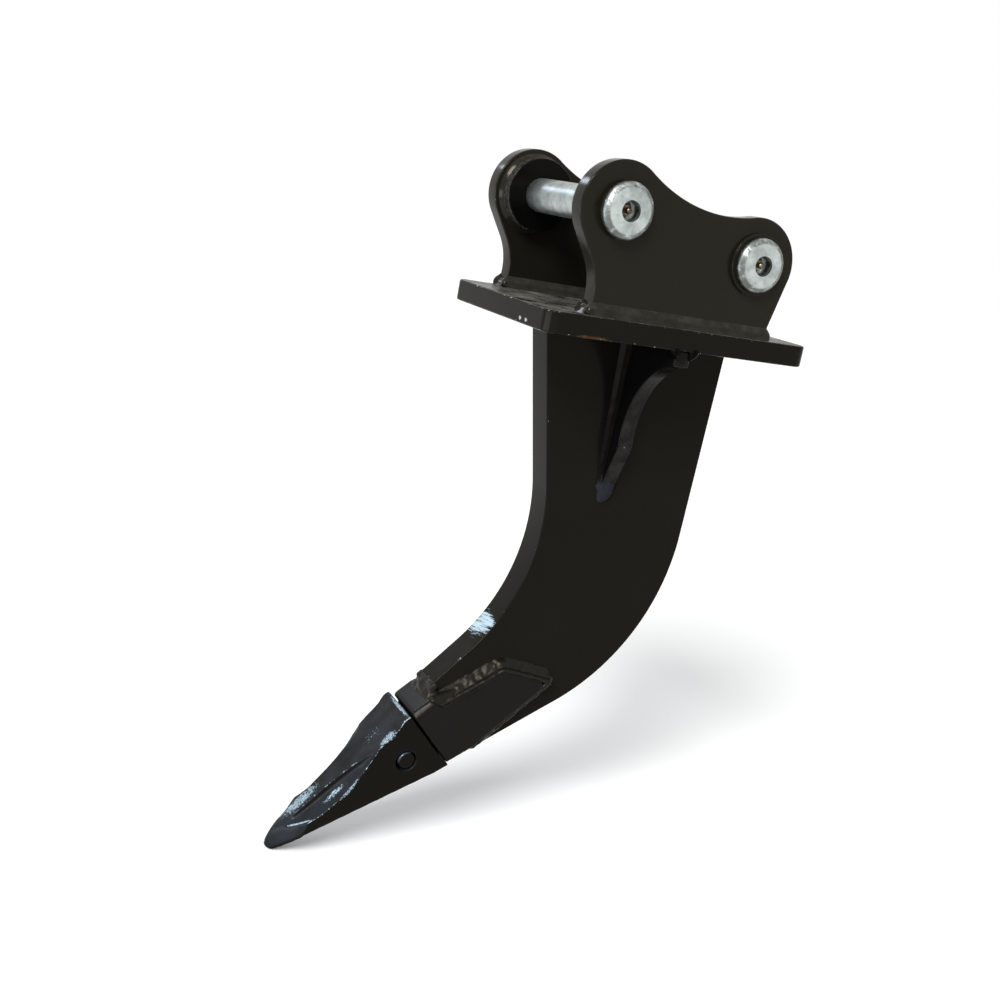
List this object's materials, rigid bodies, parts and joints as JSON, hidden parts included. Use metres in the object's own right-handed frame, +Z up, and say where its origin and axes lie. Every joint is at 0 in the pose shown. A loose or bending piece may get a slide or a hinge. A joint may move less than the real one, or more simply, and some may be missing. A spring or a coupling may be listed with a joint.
{
  "type": "ripper shank with tooth",
  "caption": "Curved ripper shank for a small excavator, with a welded pin-on headstock, side gussets, cross pins and a replaceable pinned digging tooth.",
  "frame": {"origin": "middle of the front link pin's axis, halfway between the two ears", "axes": "+X to the rear, away from the tooth; +Y to the right-hand side, along the link pins; +Z up, square to the top plate"},
  "size_m": [0.5297, 0.28, 0.8585],
  "materials": {
    "black_paint": "satin black paint over rolled steel plate, chipped along the edges",
    "cast_paint": "worn black paint over cast steel, bright where it is rubbed through",
    "bare_steel": "bare steel with dirt and light rust",
    "zinc_plate": "turned steel, zinc plated, with scratches",
    "nipple_steel": "yellow plated steel, dirty"
  },
  "bodies": {
    "root": {"left_ear": "black_paint", "right_ear": "black_paint", "front_left_boss": "black_paint", "front_right_boss": "black_paint", "rear_left_boss": "black_paint", "rear_right_boss": "black_paint", "top_plate": "black_paint", "shank": "black_paint", "left_gusset": "black_paint", "right_gusset": "black_paint", "nose_adapter": "cast_paint", "tooth": "cast_paint", "tooth_pin": "bare_steel", "tooth_pin_retainer": "bare_steel", "front_pin": "zinc_plate", "rear_pin": "zinc_plate", "front_head_collar": "zinc_plate", "rear_head_collar": "zinc_plate", "front_washer": "black_paint", "rear_washer": "black_paint", "front_nipple": "nipple_steel", "rear_nipple": "nipple_steel", "front_lock_collar": "zinc_plate", "rear_lock_collar": "zinc_plate", "front_lock_bolt": "zinc_plate", "rear_lock_bolt": "zinc_plate", "front_lock_nut": "zinc_plate", "rear_lock_nut": "zinc_plate", "ear_welds": "black_paint", "boss_welds": "black_paint", "shank_welds": "black_paint", "gusset_welds": "black_paint", "adapter_welds": "black_paint"}
  },
  "joints": []
}
